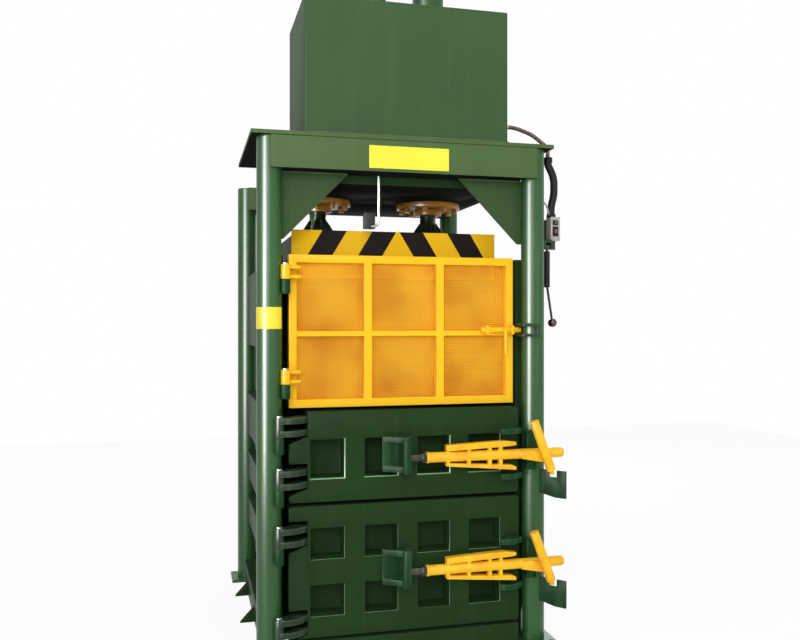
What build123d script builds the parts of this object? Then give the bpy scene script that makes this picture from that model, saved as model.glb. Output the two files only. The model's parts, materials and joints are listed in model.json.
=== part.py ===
from build123d import *
import math
import os

os.makedirs("parts", exist_ok=True)

# Main frame
bay_width = 1300.0
bay_depth = 1380.0
column_d = 114.0
column_wall = 8.0
foot_plate_t = 16.0
foot_plate_x = 190.0
foot_plate_y = 190.0
anchor_offset = 70.0
anchor_hole_d = 22.0
front_x = bay_width / 2
front_y = -bay_depth / 2
rear_y = bay_depth / 2
column_r = column_d / 2
inner_x = front_x - column_r

# Clearances
seat_gap = 0.3
pin_gap = 0.05
slide_gap = 0.3
column_hole = column_d + 2 * seat_gap

# Top of the frame
beam_bottom = 2280.0
beam_height = 150.0
beam_t = 10.0
beam_depth = 137.0
top_plate_t = 20.0
top_plate_half_x = 737.0
top_plate_depth = 897.0
top_z = beam_bottom + beam_height
gusset_leg_x = 320.0
gusset_leg_z = 315.0
gusset_t = 10.0
beam_front_y = front_y - column_r - beam_t

# Crosshead
crosshead_half_x = 570.0
crosshead_drop = 190.0
crosshead_wall = 16.0
crosshead_front_y = beam_front_y + beam_t + beam_depth
crosshead_depth = 1220.0
crosshead_cell = 260.0
crosshead_bottom = top_z - crosshead_drop
crosshead_back_y = crosshead_front_y + crosshead_depth

# Rear beam
rear_beam_height = 137.0
rear_beam_bottom = 2258.0
rear_beam_wall = 10.0
rear_column_top = rear_beam_bottom + rear_beam_height

# Base
rail_height = 130.0
rail_width = 69.0
front_rail_height = 110.0
cross_rail_depth = 100.0
floor_t = 12.0
rail_gusset_reach = 73.0
rail_gusset_height = 85.0
rail_gusset_t = 12.0
rail_gusset_toe = 6.0
rail_gusset_ys = (-100.0, 340.0)

# Chamber walls
wall_t = 12.0
wall_top = 1890.0
floor_inset = 100.0
jamb_t = 12.0
jamb_reach = 47.0
rib_depth = 60.0
rib_spans = ((390.0, 530.0), (650.0, 800.0), (910.0, 1150.0), (1442.0, 1850.0))

# Power head housing
housing_half_x = 496.0
housing_depth = 556.0
housing_height = 628.0
housing_t = 3.0
housing_bend = 12.0
housing_front_y = beam_front_y + housing_t
vent_count = 6
vent_half_x = 150.0
vent_pitch = 26.0
vent_drop = 120.0
vent_h = 8.0
tank_width = 430.0
tank_depth = 420.0
tank_height = 480.0
tank_wall = 5.0
filler_d = 60.0
motor_d = 240.0
motor_length = 360.0
motor_x = 240.0
pump_size = 130.0
pump_height = 110.0

# Cylinders and ram
cylinder_x = 315.0
cylinder_y = front_y + 710.0
barrel_d = 175.0
barrel_bore = 130.0
barrel_length = 1385.0
barrel_cap = 35.0
rod_d = 90.0
flange_d = 356.0
flange_t = 28.0
flange_bolts = 8
flange_pcd = 300.0
bolt_d = 20.0
bolt_head_d = 32.0
bolt_head_h = 24.0
gland_d = 150.0
gland_t = 34.0
piston_t = 60.0
rear_post_d = 76.0
rear_post_x = 30.0
rear_post_height = 1160.0

# Ram platen
platen_half_x = 523.0
platen_front = 200.0
platen_depth = 1070.0
platen_height = 200.0
platen_top = 2000.0
platen_skin = 20.0
board_t = 6.0
board_height = 238.0
board_rise = 28.0
rod_base_d = 250.0
rod_base_h = 20.0
rod_rib_h = 115.0
rod_rib_t = 12.0
rod_ribs = 8

# Feed door
feed_half_x = 556.0
feed_bottom = 1178.0
feed_top = 1894.0
feed_face = 23.0
feed_depth = 50.0
feed_bar = 37.0
feed_mid_bar = 24.0
feed_mid_drop = 13.0
feed_columns = 3
mesh_t = 3.0
mesh_recess = 36.0
mesh_hole = 14.0
mesh_holes_x = 5
mesh_holes_z = 4
feed_hinge_x = -578.0
feed_hinge_zs = (1776.0, 1294.0)
feed_knuckle_d = 44.0
feed_hinge_reach = column_r + feed_knuckle_d / 2 + seat_gap
feed_hinge_y = front_y - math.sqrt(feed_hinge_reach**2 - (front_x + feed_hinge_x) ** 2)
feed_knuckle_h = 66.0
feed_lug_t = 14.0
feed_lug_reach = 70.0
feed_pin_d = 20.0

# Feed door slide bolt
slide_bolt_d = 28.0
slide_bolt_z = 1539.0
slide_bolt_x0 = 380.0
slide_bolt_x1 = 588.0
handle_d = 18.0
handle_x = 500.0
handle_drop = 118.0
guide_t = 16.0
guide_xs = (410.0, 540.0)
keeper_t = 14.0
keeper_x = 567.0
keeper_end = 655.0
keeper_proud = 25.0

# Green doors
door_half_x = 562.0
door_face = -36.0
door_depth = 120.0
door_back_t = 10.0
door_corner = 16.0
upper_door_z = (746.0, 1163.0)
lower_door_z = (122.0, 729.0)
window_count = 4
window_pitch = 256.0
window_width = 158.0
upper_window_height = 178.0
upper_window_zs = (946.0,)
lower_window_height = 145.0
lower_window_zs = (292.0, 555.0)
window_wall = 12.0

# Green door hinges
hinge_x = -610.0
knuckle_d = 44.0
hinge_reach = column_r + knuckle_d / 2 + seat_gap
hinge_y = front_y - math.sqrt(hinge_reach**2 - (front_x + hinge_x) ** 2)
door_knuckle_h = 90.0
fixed_knuckle_h = 76.0
hinge_pin_d = 20.0
hinge_arm_t = 26.0
hinge_arm_offset = 29.0
hinge_arm_x = -475.0
hinge_arm_root = 96.0
upper_hinge_zs = (862.0, 1101.0)
lower_hinge_zs = (190.0, 600.0)
notch_rise = 62.0
notch_drop = 48.0
notch_chamfer = 35.0
knuckle_gap = 0.5

# Latches
upper_latch_z = 943.0
lower_latch_z = 414.0
latch_y = front_y - 100.0
latch_x = -19.0
latch_barrel_d = 42.0
latch_eye_h = 39.4
latch_barrel_up = 98.0
latch_barrel_down = 66.0
latch_pin_d = 18.0
latch_rod_d = 38.0
latch_tube_d = 48.0
latch_tube_x0 = 75.0
latch_tube_x1 = 764.0
strap_depth = 40.0
strap_x0 = 169.0
strap_x1 = 516.0
spacer_xs = (280.0, 385.0, 440.0)
spacer_w = 16.0
lever_x = 661.0
lever_drop = 22.0
lever_d = 44.0
lever_y = front_y - 154.0
lever_up = 196.0
lever_down = 58.0
lever_tilt = 20.5
lever_pin_d = 14.0
tip_d = 20.0
tip_length = 20.0
tongue_t = 13.0
latch_guide_t = 24.0
latch_guide_up = 98.0
latch_guide_down = 94.0
catch_t = 12.0
catch_drop = 86.0
catch_height = 132.0
catch_notch_w = 40.0
catch_notch_h = 34.0
catch_reach = 136.0
catch_turn = 49.6
catch_taper = 11.0
pad_x0 = 592.0
pad_x1 = 640.0
pad_proud = 15.0
pad_up = 105.0
pad_down = 84.0
bracket_t = 12.0
bracket_web = 26.0
bracket_x0 = -126.0
bracket_x1 = 20.0

# Controls
control_x = 797.0
control_y = front_y + 80.0
control_w = 53.0
control_d = 60.0
control_top = 2111.0
control_h = 115.0
button_d = 22.0
button_proud = 9.0
start_z = 2081.0
stop_z = 2037.0
valve_w = 52.0
valve_top = 1993.0
valve_h = 44.0
valve_x = 760.0
bracket_plate_t = 10.0
lever_boss_d = 26.0
grip_d = 30.0
grip_length = 188.0
stick_d = 12.0
knob_d = 46.0
knob_z = 1574.0
knob_x = 790.0
hose_d = 20.0
conduit_d = 38.0
hose_drop_x = 768.0
conduit_bulge_x = 802.0
conduit_end_x = 786.0

# Name plate and column band
nameplate_w = 388.0
nameplate_h = 106.0
nameplate_t = 2.0
nameplate_z = 2348.0
band_z = 1547.0
band_h = 100.0
band_t = 1.2

# Limit switch hanging under the front beam
switch_rod_d = 12.0
switch_x = -119.0
switch_y = front_y + 60.0
switch_rod_bottom = 2044.0
switch_w = 54.0
switch_shift = 43.0
switch_depth = 36.0
switch_top = 2105.0
switch_h = 77.0


def block(x0, x1, y0, y1, z0, z1):
    centre = Pos((x0 + x1) / 2, (y0 + y1) / 2, (z0 + z1) / 2)
    return centre * Box(x1 - x0, y1 - y0, z1 - z0)


def upright(x, y, z0, z1, d):
    return Pos(x, y, (z0 + z1) / 2) * Cylinder(d / 2, z1 - z0)


def bar_x(x0, x1, y, z, d):
    return Pos((x0 + x1) / 2, y, z) * Rot(0, 90, 0) * Cylinder(d / 2, x1 - x0)


def bar_y(x, y0, y1, z, d):
    return Pos(x, (y0 + y1) / 2, z) * Rot(90, 0, 0) * Cylinder(d / 2, y1 - y0)


def plan_plate(points, z0, z1):
    outline = make_face(Polyline(*points, close=True))
    return Pos(0, 0, z0) * extrude(outline, amount=z1 - z0, dir=(0, 0, 1))


def front_plate(points, y0, y1):
    outline = make_face(Polyline(*[(x, 0, z) for x, z in points], close=True))
    return Pos(0, y0, 0) * extrude(outline, amount=y1 - y0, dir=(0, 1, 0))


def save(shape, name):
    solids = shape if isinstance(shape, list) else [shape]
    pieces = [s for piece in solids for s in piece.solids()]
    export_step(pieces[0] if len(pieces) == 1 else Compound(children=pieces), f"parts/{name}.step")


# Columns
def column(x, y, top):
    outside = upright(x, y, foot_plate_t, top, column_d)
    inside = upright(x, y, foot_plate_t - 1, top - column_wall, column_d - 2 * column_wall)
    return outside - inside


save(column(-front_x, front_y, top_z), "front_left_column")
save(column(front_x, front_y, top_z), "front_right_column")
save(column(-front_x, rear_y, rear_column_top), "rear_left_column")
save(column(front_x, rear_y, rear_column_top), "rear_right_column")

# Feet with one anchor hole each
feet = []
for side in (-1, 1):
    for end in (-1, 1):
        x = side * front_x
        y = end * rear_y
        plate = Pos(x, y, foot_plate_t / 2) * Box(foot_plate_x, foot_plate_y, foot_plate_t)
        hole = upright(x + side * anchor_offset, y + end * anchor_offset, -1, foot_plate_t + 1, anchor_hole_d)
        feet.append(plate - hole)
save(feet, "column_feet")

# Base rails
rail_end = rear_y - foot_plate_y / 2
rail_out = inner_x + rail_width + 7
rail_in = inner_x + 7
rails = []
for side in (-1, 1):
    xs = sorted((side * rail_in, side * rail_out))
    rail = block(xs[0], xs[1], -rail_end, rail_end, 0, rail_height - floor_t)
    hollow_y = rail_end - wall_t
    hollow_top = rail_height - floor_t - wall_t
    rails.append(rail - block(xs[0] + wall_t, xs[1] - wall_t, -hollow_y, hollow_y, -1, hollow_top))
rail_x = front_x - foot_plate_x / 2
cross_half = cross_rail_depth / 2
front_rail = block(-rail_x, rail_x, front_y - cross_half, front_y + cross_half, 0, front_rail_height)
rear_rail = block(-rail_x, rail_x, rear_y - cross_half, rear_y + cross_half, 0, rail_height)
sill_y0 = rear_y - column_r - wall_t
sill_z0 = foot_plate_t + seat_gap
rear_rail += block(-rail_x, rail_x, sill_y0, rear_y - cross_half + 1, sill_z0, rail_height - seat_gap)
rear_rail += block(-front_x, front_x, sill_y0, rear_y - column_r - seat_gap, sill_z0, rail_height - seat_gap)
rails += [front_rail, rear_rail]

# Gussets that brace the side rails
for side in (-1, 1):
    for y in rail_gusset_ys:
        root = rail_out + seat_gap
        tip = root + rail_gusset_reach
        outline = [(root, 0), (tip, 0), (tip, rail_gusset_toe), (root, rail_gusset_height)]
        points = [(side * x, z) for x, z in outline]
        rails.append(front_plate(points, y, y + rail_gusset_t))
save(rails, "base_rails")

# Floor of the chamber
floor_front = front_y + floor_inset
floor_back = rear_y - column_r - wall_t - seat_gap
floor = block(-rail_out, rail_out, floor_front, floor_back, rail_height - floor_t, rail_height)
save(floor, "chamber_floor")

# Front beam, a channel whose web lies in front of the columns
web = block(-front_x, front_x, beam_front_y, beam_front_y + beam_t, beam_bottom, top_z)
flange_end = crosshead_front_y - seat_gap
flange_x = inner_x - seat_gap
lower_flange = block(-flange_x, flange_x, beam_front_y, flange_end, beam_bottom, beam_bottom + beam_t)
save(web + lower_flange, "front_beam")

# Corner gussets under the front beam
gussets = []
gusset_y = front_y + 30
for side in (-1, 1):
    outer = side * (front_x - column_r + 22)
    inner = side * (inner_x - gusset_leg_x)
    low = beam_bottom - gusset_leg_z
    points = [(outer, beam_bottom), (inner, beam_bottom), (side * (inner_x - 12), low), (outer, low)]
    plate = front_plate(points, gusset_y, gusset_y + gusset_t)
    tube = upright(side * front_x, front_y, low - 1, beam_bottom + 1, column_hole)
    gussets.append(plate - tube)
save(gussets, "corner_gussets")

# Top plate
plate_back = beam_front_y + top_plate_depth
top_plate = block(-top_plate_half_x, top_plate_half_x, beam_front_y, plate_back, top_z, top_z + top_plate_t)
barrel_hole = barrel_d + 2 * seat_gap
for side in (-1, 1):
    top_plate -= upright(side * cylinder_x, cylinder_y, top_z - 1, top_z + top_plate_t + 1, barrel_hole)
save(top_plate, "top_plate")

# Crosshead, a welded box whose cells are open at the top
crosshead_xs = (-crosshead_half_x, crosshead_half_x)
crosshead = block(*crosshead_xs, crosshead_front_y, crosshead_back_y, crosshead_bottom, top_z)
cell_inner = cylinder_x - crosshead_cell / 2
cell_outer = cylinder_x + crosshead_cell / 2
cell_walls = (-crosshead_half_x, -cell_outer, -cell_inner, cell_inner, cell_outer, crosshead_half_x)
for x0, x1 in zip(cell_walls[:-1], cell_walls[1:]):
    crosshead -= block(
        x0 + crosshead_wall / 2,
        x1 - crosshead_wall / 2,
        crosshead_front_y + crosshead_wall,
        crosshead_back_y - crosshead_wall,
        crosshead_bottom + crosshead_wall,
        top_z + 1,
    )
for side in (-1, 1):
    crosshead -= upright(side * cylinder_x, cylinder_y, crosshead_bottom - 1, top_z + 1, barrel_hole)
save(crosshead, "crosshead")

# Rear beam between the rear columns, its front wall in front of them
rear_beam_front = crosshead_back_y + seat_gap
rear_beam = block(-flange_x, flange_x, rear_beam_front, rear_y + column_r, rear_beam_bottom, rear_column_top)
rear_beam -= block(
    -flange_x - 1,
    flange_x + 1,
    rear_beam_front + rear_beam_wall,
    rear_y + column_r - rear_beam_wall,
    rear_beam_bottom - 1,
    rear_column_top - rear_beam_wall,
)
rear_web_y1 = rear_beam_front + rear_beam_wall
rear_beam += block(-front_x, front_x, rear_beam_front, rear_web_y1, rear_beam_bottom, rear_column_top)
save(rear_beam, "rear_beam")

# Side walls with their ribs and a jamb behind each front column
wall_out = inner_x - seat_gap
wall_y0 = front_y + column_r + seat_gap
wall_y1 = rear_y - column_r
rib_y0 = front_y + column_r + 8
rib_y1 = rear_y - column_r - 8
for side, name in ((-1, "left_side_wall"), (1, "right_side_wall")):
    xs = sorted((side * (wall_out - wall_t), side * wall_out))
    wall = block(xs[0], xs[1], wall_y0, wall_y1, rail_height, wall_top)
    rib_xs = sorted((side * (wall_out - 1), side * (wall_out + rib_depth)))
    for z0, z1 in rib_spans:
        wall += block(*rib_xs, rib_y0, rib_y1, z0, z1)
    jamb_xs = sorted((side * (wall_out - 1), side * (wall_out + jamb_reach)))
    wall += block(*jamb_xs, wall_y0, wall_y0 + jamb_t, rail_height, wall_top)
    save(wall, name)

# Rear wall
rear_wall_x = wall_out - wall_t - seat_gap
rear_wall = block(-rear_wall_x, rear_wall_x, wall_y1 - wall_t, wall_y1, rail_height, wall_top)
for z0, z1 in rib_spans[::2]:
    rear_wall += block(-rear_wall_x, rear_wall_x, wall_y1 - 1, wall_y1 + rib_depth, z0, z1)
save(rear_wall, "rear_wall")

# Power head housing, one folded sheet, and its back cover
housing_z0 = top_z + top_plate_t
housing_z1 = housing_z0 + housing_height
housing_back_y = housing_front_y + housing_depth
housing = block(-housing_half_x, housing_half_x, housing_front_y, housing_back_y, housing_z0, housing_z1)
front_edges = housing.edges().filter_by(Axis.Z).sort_by(Axis.Y)[:2]
housing = fillet(front_edges, housing_bend)
cavity = block(
    -housing_half_x + housing_t,
    housing_half_x - housing_t,
    housing_front_y + housing_t,
    housing_back_y + 1,
    housing_z0 - 1,
    housing_z1 - housing_t,
)
cavity = fillet(cavity.edges().filter_by(Axis.Z).sort_by(Axis.Y)[:2], housing_bend - housing_t)
hose_start_y = front_y + 60
hose_start_z = 2554.0
hose_hole = bar_x(housing_half_x - 20, housing_half_x + 1, hose_start_y, hose_start_z, hose_d + 2 * seat_gap)
save(housing - cavity - hose_hole, "head_housing")
cover_x = housing_half_x - housing_t - seat_gap
cover_top = housing_z1 - housing_t - seat_gap
cover = block(-cover_x, cover_x, housing_back_y - housing_t, housing_back_y, housing_z0, cover_top)
for i in range(vent_count):
    z = housing_z1 - vent_drop - i * vent_pitch
    vent_y = (housing_back_y - housing_t - 1, housing_back_y + 1)
    cover -= block(-vent_half_x, vent_half_x, *vent_y, z, z + vent_h)
save(cover, "head_housing_cover")

# Oil tank
tank_x0 = -housing_half_x + 38
tank_y0 = housing_front_y + 40
tank_top = housing_z0 + tank_height
tank = block(tank_x0, tank_x0 + tank_width, tank_y0, tank_y0 + tank_depth, housing_z0, tank_top)
tank -= block(
    tank_x0 + tank_wall,
    tank_x0 + tank_width - tank_wall,
    tank_y0 + tank_wall,
    tank_y0 + tank_depth - tank_wall,
    housing_z0 + tank_wall,
    tank_top - tank_wall,
)
tank -= upright(tank_x0 + tank_width / 2, tank_y0 + tank_depth / 2, tank_top - 20, tank_top + 1, filler_d)
save(tank, "oil_tank")

# Motor standing on its pump
pump_y = tank_y0 + tank_depth / 2
motor_z = housing_z0 + pump_height
pump = Pos(motor_x, pump_y, housing_z0 + pump_height / 2) * Box(pump_size, pump_size, pump_height)
motor = upright(motor_x, pump_y, motor_z, motor_z + motor_length, motor_d)
motor += upright(motor_x, pump_y, motor_z, motor_z + 16, motor_d + 30)
terminal_y = pump_y + motor_d / 2
motor += block(motor_x - 60, motor_x + 60, terminal_y - 20, terminal_y + 50, motor_z + 130, motor_z + 230)
save([motor, pump], "motor_and_pump")

# Cylinder barrels, flanges, bolts and glands
flange_top = crosshead_bottom
barrel_z0 = crosshead_bottom - flange_t
barrels, flanges, bolts, glands = [], [], [], []
for side in (-1, 1):
    x = side * cylinder_x
    barrel = upright(x, cylinder_y, barrel_z0, barrel_z0 + barrel_length, barrel_d)
    barrel += upright(x, cylinder_y, barrel_z0 + barrel_length - 60, barrel_z0 + barrel_length, barrel_d + 24)
    barrel -= upright(x, cylinder_y, barrel_z0 - 1, barrel_z0 + barrel_length - barrel_cap, barrel_bore)
    barrels.append(barrel)
    flange = upright(x, cylinder_y, flange_top - flange_t, flange_top, flange_d)
    flange -= upright(x, cylinder_y, flange_top - flange_t - 1, flange_top + 1, barrel_d + 2 * seat_gap)
    for i in range(flange_bolts):
        angle = math.radians(360 / flange_bolts * (i + 0.5))
        bx = x + flange_pcd / 2 * math.cos(angle)
        by = cylinder_y + flange_pcd / 2 * math.sin(angle)
        flange -= upright(bx, by, flange_top - flange_t - 1, flange_top + 1, bolt_d + 2)
        head = extrude(RegularPolygon(bolt_head_d / 2, 6), amount=bolt_head_h)
        head = Pos(bx, by, flange_top - flange_t - bolt_head_h) * head
        shank = upright(bx, by, flange_top - flange_t - 1, flange_top - seat_gap, bolt_d)
        bolts.append(head + shank)
    flanges.append(flange)
    gland = upright(x, cylinder_y, barrel_z0 - gland_t, barrel_z0, gland_d)
    gland -= upright(x, cylinder_y, barrel_z0 - gland_t - 1, barrel_z0 + 1, rod_d + 4 * pin_gap)
    glands.append(gland)
save(barrels, "cylinder_barrels")
save(flanges, "cylinder_flanges")
save(bolts, "flange_bolts")
save(glands, "gland_rings")

# Round post behind the housing
post_z = top_z + top_plate_t
save(upright(rear_post_x, cylinder_y, post_z, post_z + rear_post_height, rear_post_d), "rear_post")

# Ram: two rods with pistons and ribbed bases, the platen and its striped board
rods = []
for side in (-1, 1):
    x = side * cylinder_x
    piston_top = barrel_z0 + barrel_length - barrel_cap - 10
    rod = upright(x, cylinder_y, platen_top, piston_top, rod_d)
    rod += upright(x, cylinder_y, piston_top - piston_t, piston_top, barrel_bore - 2 * slide_gap)
    rod += upright(x, cylinder_y, platen_top, platen_top + rod_base_h, rod_base_d)
    base_top = platen_top + rod_base_h
    rib_toe = rod_base_d / 2 - 6
    rib_outline = [
        (0, base_top - 1),
        (rib_toe, base_top - 1),
        (rib_toe, base_top + 10),
        (rod_d / 2 + 3, base_top + rod_rib_h),
        (0, base_top + rod_rib_h),
    ]
    rib = front_plate(rib_outline, -rod_rib_t / 2, rod_rib_t / 2)
    for i in range(rod_ribs):
        rod += Pos(x, cylinder_y, 0) * Rot(0, 0, 360 / rod_ribs * (i + 0.5)) * rib
    rods.append(rod)
save(rods, "ram_rods")

platen_y0 = front_y + platen_front
platen_y1 = platen_y0 + platen_depth
platen_z0 = platen_top - platen_height
platen = block(-platen_half_x, platen_half_x, platen_y0, platen_y1, platen_z0, platen_top)
cell_x = 2 * platen_half_x / 3
cell_y = platen_depth / 3
for i in range(3):
    for j in range(3):
        x = -platen_half_x + cell_x * i
        y = platen_y0 + cell_y * j
        inside = (x + platen_skin, x + cell_x - platen_skin, y + platen_skin, y + cell_y - platen_skin)
        under_rod = j == 1 and i != 1
        if not under_rod:
            platen -= block(*inside, platen_z0 + platen_skin, platen_top + 1)
save(platen, "ram_platen")

board_top = platen_top + board_rise
board_y = (platen_y0 - board_t, platen_y0)
board = block(-platen_half_x, platen_half_x, *board_y, board_top - board_height, board_top)
save(board, "striped_board")

# Feed door frame and perforated panels
face_y = front_y + feed_face
feed_back = face_y + feed_depth
mid_z = (feed_bottom + feed_top) / 2 - feed_mid_drop
open_x0 = -feed_half_x + feed_bar
open_x1 = feed_half_x - feed_bar
cell_w = (open_x1 - open_x0 - (feed_columns - 1) * feed_bar) / feed_columns
frame = block(-feed_half_x, feed_half_x, face_y, feed_back, feed_bottom, feed_top)
mesh = block(
    open_x0 + seat_gap,
    open_x1 - seat_gap,
    face_y + mesh_recess,
    face_y + mesh_recess + mesh_t,
    feed_bottom + feed_bar + seat_gap,
    feed_top - feed_bar - seat_gap,
)
open_z0 = feed_bottom + feed_bar
open_z1 = feed_top - feed_bar
rows = ((open_z0, mid_z - feed_mid_bar / 2), (mid_z + feed_mid_bar / 2, open_z1))
frame -= block(open_x0, open_x1, face_y + mesh_recess - seat_gap, feed_back + 1, open_z0, open_z1)
for c in range(feed_columns):
    x0 = open_x0 + c * (cell_w + feed_bar)
    for z0, z1 in rows:
        frame -= block(x0, x0 + cell_w, face_y - 1, feed_back + 1, z0, z1)
        step_x = cell_w / mesh_holes_x
        step_z = (z1 - z0) / mesh_holes_z
        for i in range(mesh_holes_x):
            for j in range(mesh_holes_z):
                hx = x0 + (i + 0.5) * step_x
                hz = z0 + (j + 0.5) * step_z
                half = mesh_hole / 2
                mesh -= block(hx - half, hx + half, face_y, feed_back, hz - half, hz + half)
save(frame, "feed_door_frame")
save(mesh, "feed_door_mesh")

# Feed door hinges: knuckle of the door above, knuckle of the column below
feed_knuckles, fixed_knuckles, hinge_pins = [], [], []
for z in feed_hinge_zs:
    tube = upright(feed_hinge_x, feed_hinge_y, z, z + feed_knuckle_h, feed_knuckle_d)
    for lug_z in (z + 4, z + feed_knuckle_h - feed_lug_t - 4):
        lug_end = feed_hinge_x + feed_lug_reach
        tube += block(feed_hinge_x, lug_end, feed_hinge_y - 2, face_y - seat_gap, lug_z, lug_z + feed_lug_t)
    tube -= upright(feed_hinge_x, feed_hinge_y, z - 1, z + feed_knuckle_h + 1, feed_pin_d + 2 * pin_gap)
    feed_knuckles.append(tube)
    below = z - knuckle_gap
    foot = below - feed_knuckle_h
    head = z + feed_knuckle_h
    fixed = upright(feed_hinge_x, feed_hinge_y, foot, below, feed_knuckle_d)
    fixed -= upright(feed_hinge_x, feed_hinge_y, foot - 1, below + 1, feed_pin_d + 2 * pin_gap)
    fixed -= upright(-front_x, front_y, foot - 1, below + 1, column_hole)
    fixed_knuckles.append(fixed)
    pin = upright(feed_hinge_x, feed_hinge_y, foot, head + 1, feed_pin_d)
    pin += upright(feed_hinge_x, feed_hinge_y, head + knuckle_gap, head + 7, feed_pin_d + 10)
    hinge_pins.append(pin)
save(feed_knuckles, "feed_door_knuckles")

# Slide bolt of the feed door, its guides and the keeper bracket on the column
bolt_y = face_y - slide_bolt_d / 2 - 4
slide_bolt = bar_x(slide_bolt_x0, slide_bolt_x1, bolt_y, slide_bolt_z, slide_bolt_d)
grip_y = bolt_y - slide_bolt_d / 2 - 14
handle_path = FilletPolyline(
    (handle_x, bolt_y, slide_bolt_z),
    (handle_x, grip_y, slide_bolt_z),
    (handle_x, grip_y, slide_bolt_z - handle_drop),
    radius=handle_d / 2 + 4,
)
slide_bolt += sweep(Plane(handle_path @ 0, z_dir=handle_path % 0) * Circle(handle_d / 2), path=handle_path)
save(slide_bolt, "slide_bolt")
guides = []
for x in guide_xs:
    half = slide_bolt_d / 2 + 8
    guide_x = (x - guide_t / 2, x + guide_t / 2)
    guide = block(*guide_x, bolt_y - half, face_y - seat_gap, slide_bolt_z - half, slide_bolt_z + half)
    guide -= bar_x(x - guide_t, x + guide_t, bolt_y, slide_bolt_z, slide_bolt_d + 2 * slide_gap)
    guides.append(guide)
save(guides, "bolt_guides")
keeper_half = slide_bolt_d / 2 + 4 + keeper_t
keeper_y0 = front_y - column_r - keeper_proud
keeper_y1 = front_y + 30
keeper_low = slide_bolt_z - keeper_half
keeper_high = slide_bolt_z + keeper_half
slot = (keeper_x - 1, keeper_end - keeper_t, keeper_y0 - 1, keeper_y1 + 1)
keeper = block(keeper_x, keeper_end, keeper_y0, keeper_y1, keeper_low, keeper_high)
keeper -= block(*slot, keeper_low + keeper_t, keeper_high - keeper_t)
keeper -= upright(front_x, front_y, keeper_low - 1, keeper_high + 1, column_hole)
save(keeper, "bolt_keeper")


# Green doors: a deep frame with square windows and notches for the hinge arms
def green_door(z_range, window_zs, window_height, hinge_zs):
    z0, z1 = z_range
    y0 = front_y + door_face
    y1 = y0 + door_depth
    door = block(-door_half_x, door_half_x, y0, y1, z0, z1)
    door = fillet(door.edges().filter_by(Axis.Y), door_corner)
    half = window_width / 2
    centres = [(i - (window_count - 1) / 2) * window_pitch for i in range(window_count)]
    for x in centres:
        for z in window_zs:
            low = z - window_height / 2
            door -= block(x - half, x + half, y0 - 1, y1 - door_back_t, low, low + window_height)
    for x in [c + window_pitch / 2 for c in centres[:-1]]:
        room = window_pitch / 2 - half - window_wall
        door -= block(x - room, x + room, y0 + window_wall, y1 + 1, z0 + window_wall, z1 - window_wall)
    for z in hinge_zs:
        top = z + notch_rise + 1
        points = [
            (-door_half_x - 1, z - notch_drop - notch_chamfer),
            (hinge_arm_x, z - notch_drop),
            (hinge_arm_x, top),
            (-door_half_x - 1, top),
        ]
        door -= front_plate(points, y0 - 1, y1 + 1)
    return door


def hinge_arm(z):
    eye = (hinge_x, hinge_y)
    door_y = front_y + door_face
    r = knuckle_d / 2
    root_x = hinge_arm_x - seat_gap
    root_y = door_y + hinge_arm_root
    nose = (eye[0], eye[1] - r)
    heel = (eye[0], eye[1] + r - 6)
    front = ThreePointArc(nose, (hinge_arm_x - 52, door_y - 44), (root_x, door_y))
    side = Line((root_x, door_y), (root_x, root_y))
    back = Polyline((root_x, root_y), (hinge_arm_x - 50, root_y - 36), heel)
    close = Line(heel, nose)
    outline = make_face(front + side + back + close)
    return Pos(0, 0, z - hinge_arm_t / 2) * extrude(outline, amount=hinge_arm_t, dir=(0, 0, 1))


def door_hinges(hinge_zs):
    pieces = []
    for z in hinge_zs:
        low = z - door_knuckle_h / 2
        high = z + door_knuckle_h / 2
        piece = upright(hinge_x, hinge_y, low, high, knuckle_d)
        for side in (-1, 1):
            piece += hinge_arm(z + side * hinge_arm_offset)
        piece -= upright(hinge_x, hinge_y, low - 1, high + 1, hinge_pin_d + 2 * pin_gap)
        pieces.append(piece)
        below = low - knuckle_gap
        fixed = upright(hinge_x, hinge_y, below - fixed_knuckle_h, below, knuckle_d)
        fixed -= upright(hinge_x, hinge_y, below - fixed_knuckle_h - 1, below + 1, hinge_pin_d + 2 * pin_gap)
        fixed_knuckles.append(fixed)
        pin = upright(hinge_x, hinge_y, below - fixed_knuckle_h, high + 1, hinge_pin_d)
        pin += upright(hinge_x, hinge_y, high + knuckle_gap, high + 7, hinge_pin_d + 10)
        hinge_pins.append(pin)
    return pieces


save(green_door(upper_door_z, upper_window_zs, upper_window_height, upper_hinge_zs), "upper_door")
save(green_door(lower_door_z, lower_window_zs, lower_window_height, lower_hinge_zs), "lower_door")
save(door_hinges(upper_hinge_zs), "upper_door_hinges")
save(door_hinges(lower_hinge_zs), "lower_door_hinges")
save(fixed_knuckles, "column_knuckles")
save(hinge_pins, "hinge_pins")


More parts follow.
